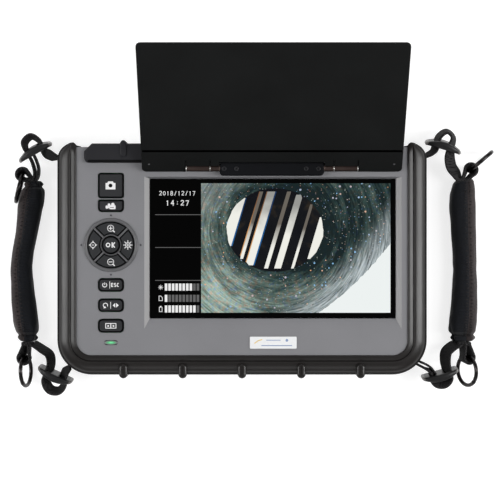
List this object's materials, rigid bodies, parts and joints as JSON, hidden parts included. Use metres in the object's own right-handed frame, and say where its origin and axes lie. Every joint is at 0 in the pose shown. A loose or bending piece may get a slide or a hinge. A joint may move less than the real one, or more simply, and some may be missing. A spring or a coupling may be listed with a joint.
{
  "type": "inspection camera",
  "caption": "Handheld inspection camera monitor with a rubber bumper, keypad, wide display, flip-up lid and hand straps on both sides.",
  "frame": {"origin": "on the rest pad in the middle of the back, where the unit lies on a table", "axes": "+Z out of the display, +Y towards the display's top edge, +X to the display's right"},
  "size_m": [0.3228, 0.2229, 0.1168],
  "materials": {
    "grey_plastic": "fine-textured grey moulded plastic",
    "black_plastic": "fine-textured black moulded plastic",
    "bumper_rubber": "satin dark grey rubber",
    "display": "black display glass, on",
    "steel": "plain steel",
    "dark_steel": "dark nickel plated steel",
    "circuit_board": "green solder mask",
    "battery": "shrink-wrapped cells",
    "ring_plastic": "satin dark grey plastic",
    "led": "clear green light pipe, lit",
    "label": "white printed plate",
    "hinge_plastic": "black plastic",
    "lid_plastic": "matt black plastic",
    "key_plastic": "dark grey silicone key with white legends",
    "webbing": "black woven polyester webbing",
    "buckle_plastic": "black acetal",
    "neoprene": "black knit-faced neoprene, stitched"
  },
  "bodies": {
    "housing": {"front_housing": "grey_plastic", "rear_housing": "black_plastic", "bumper": "bumper_rubber", "top_bumper": "bumper_rubber", "display_window": "display", "lcd_panel": "steel", "main_board": "circuit_board", "keypad_board": "circuit_board", "battery_pack": "battery", "nav_ring": "ring_plastic", "status_led": "led", "name_label": "label", "hinge_block": "hinge_plastic", "hinge_pin_left": "steel", "hinge_pin_right": "steel", "probe_socket": "dark_steel", "data_socket": "steel", "strap_lug_left_top": "steel", "strap_lug_right_top": "steel", "strap_lug_left_bottom": "steel", "strap_lug_right_bottom": "steel", "housing_screw_1": "steel", "housing_screw_2": "steel", "housing_screw_3": "steel", "housing_screw_4": "steel"},
    "battery_door": {"battery_door": "black_plastic"},
    "port_cover": {"port_cover": "bumper_rubber"},
    "lid": {"lid_panel": "lid_plastic", "lid_rail": "lid_plastic", "lid_knuckle_left": "dark_steel", "lid_knuckle_right": "dark_steel"},
    "snapshot_button": {"snapshot_button": "key_plastic"},
    "record_button": {"record_button": "key_plastic"},
    "power_button": {"power_button": "key_plastic"},
    "rotate_button": {"rotate_button": "key_plastic"},
    "gallery_button": {"gallery_button": "key_plastic"},
    "nav_up_button": {"nav_up_button": "key_plastic"},
    "nav_down_button": {"nav_down_button": "key_plastic"},
    "nav_left_button": {"nav_left_button": "key_plastic"},
    "nav_right_button": {"nav_right_button": "key_plastic"},
    "ok_button": {"ok_button": "key_plastic"},
    "strap_left": {"grip_pad_left": "neoprene", "webbing_left_top": "webbing", "buckle_left_top": "buckle_plastic", "webbing_left_bottom": "webbing", "buckle_left_bottom": "buckle_plastic"},
    "ring_left_top": {"ring_left_top": "dark_steel"},
    "ring_left_bottom": {"ring_left_bottom": "dark_steel"},
    "strap_right": {"grip_pad_right": "neoprene", "webbing_right_top": "webbing", "buckle_right_top": "buckle_plastic", "webbing_right_bottom": "webbing", "buckle_right_bottom": "buckle_plastic"},
    "ring_right_top": {"ring_right_top": "dark_steel"},
    "ring_right_bottom": {"ring_right_bottom": "dark_steel"}
  },
  "joints": [
    {"name": "lid_hinge", "type": "hinge", "parent": "housing", "child": "lid", "pos_m": [0, 0.059, 0.0456], "axis": [1, 0, 0], "range_deg": [-12, 134]},
    {"name": "battery_door_slide", "type": "slide", "parent": "housing", "child": "battery_door", "axis": [1, 0, 0], "range_m": [0, 0.0075]},
    {"name": "port_cover_hinge", "type": "hinge", "parent": "housing", "child": "port_cover", "pos_m": [-0.0195, 0.0752, 0.0306], "axis": [1, 0, 0], "range_deg": [0, 100]},
    {"name": "snapshot_press", "type": "slide", "parent": "housing", "child": "snapshot_button", "axis": [0, 0, -1], "range_m": [0, 0.0008], "stiffness_N_per_m": 900, "springref_m": -0.0002},
    {"name": "record_press", "type": "slide", "parent": "housing", "child": "record_button", "axis": [0, 0, -1], "range_m": [0, 0.0008], "stiffness_N_per_m": 900, "springref_m": -0.0002},
    {"name": "power_press", "type": "slide", "parent": "housing", "child": "power_button", "axis": [0, 0, -1], "range_m": [0, 0.0008], "stiffness_N_per_m": 900, "springref_m": -0.0002},
    {"name": "rotate_press", "type": "slide", "parent": "housing", "child": "rotate_button", "axis": [0, 0, -1], "range_m": [0, 0.0008], "stiffness_N_per_m": 900, "springref_m": -0.0002},
    {"name": "gallery_press", "type": "slide", "parent": "housing", "child": "gallery_button", "axis": [0, 0, -1], "range_m": [0, 0.0008], "stiffness_N_per_m": 900, "springref_m": -0.0002},
    {"name": "nav_up_press", "type": "slide", "parent": "housing", "child": "nav_up_button", "axis": [0, 0, -1], "range_m": [0, 0.0008], "stiffness_N_per_m": 900, "springref_m": -0.0002},
    {"name": "nav_down_press", "type": "slide", "parent": "housing", "child": "nav_down_button", "axis": [0, 0, -1], "range_m": [0, 0.0008], "stiffness_N_per_m": 900, "springref_m": -0.0002},
    {"name": "nav_left_press", "type": "slide", "parent": "housing", "child": "nav_left_button", "axis": [0, 0, -1], "range_m": [0, 0.0008], "stiffness_N_per_m": 900, "springref_m": -0.0002},
    {"name": "nav_right_press", "type": "slide", "parent": "housing", "child": "nav_right_button", "axis": [0, 0, -1], "range_m": [0, 0.0008], "stiffness_N_per_m": 900, "springref_m": -0.0002},
    {"name": "ok_press", "type": "slide", "parent": "housing", "child": "ok_button", "axis": [0, 0, -1], "range_m": [0, 0.0008], "stiffness_N_per_m": 900, "springref_m": -0.0002},
    {"name": "strap_left_swing", "type": "hinge", "parent": "housing", "child": "strap_left", "pos_m": [-0.121, 0.0669, 0.02], "axis": [-0.0504, 0.9987, 0], "range_deg": [-20, 70]},
    {"name": "strap_right_swing", "type": "hinge", "parent": "housing", "child": "strap_right", "pos_m": [0.121, 0.0675, 0.02], "axis": [-0.0393, -0.9992, 0], "range_deg": [-20, 70]},
    {"name": "ring_left_top_swing", "type": "hinge", "parent": "strap_left", "child": "ring_left_top", "pos_m": [-0.1464, 0.0572, 0.0113], "axis": [0.0677, -0.0168, 0.9976], "range_deg": [-60, 0]},
    {"name": "ring_left_bottom_swing", "type": "hinge", "parent": "strap_left", "child": "ring_left_bottom", "pos_m": [-0.1448, -0.0652, 0.0113], "axis": [-0.2419, -0.0048, 0.9703], "range_deg": [-45, 25]},
    {"name": "ring_right_top_swing", "type": "hinge", "parent": "strap_right", "child": "ring_right_top", "pos_m": [0.1518, 0.0586, 0.0113], "axis": [-0.0227, 0.0265, 0.9994], "range_deg": [-40, 30]},
    {"name": "ring_right_bottom_swing", "type": "hinge", "parent": "strap_right", "child": "ring_right_bottom", "pos_m": [0.1496, -0.0649, 0.0113], "axis": [0.529, 0.0317, 0.848], "range_deg": [-2, 40]}
  ]
}
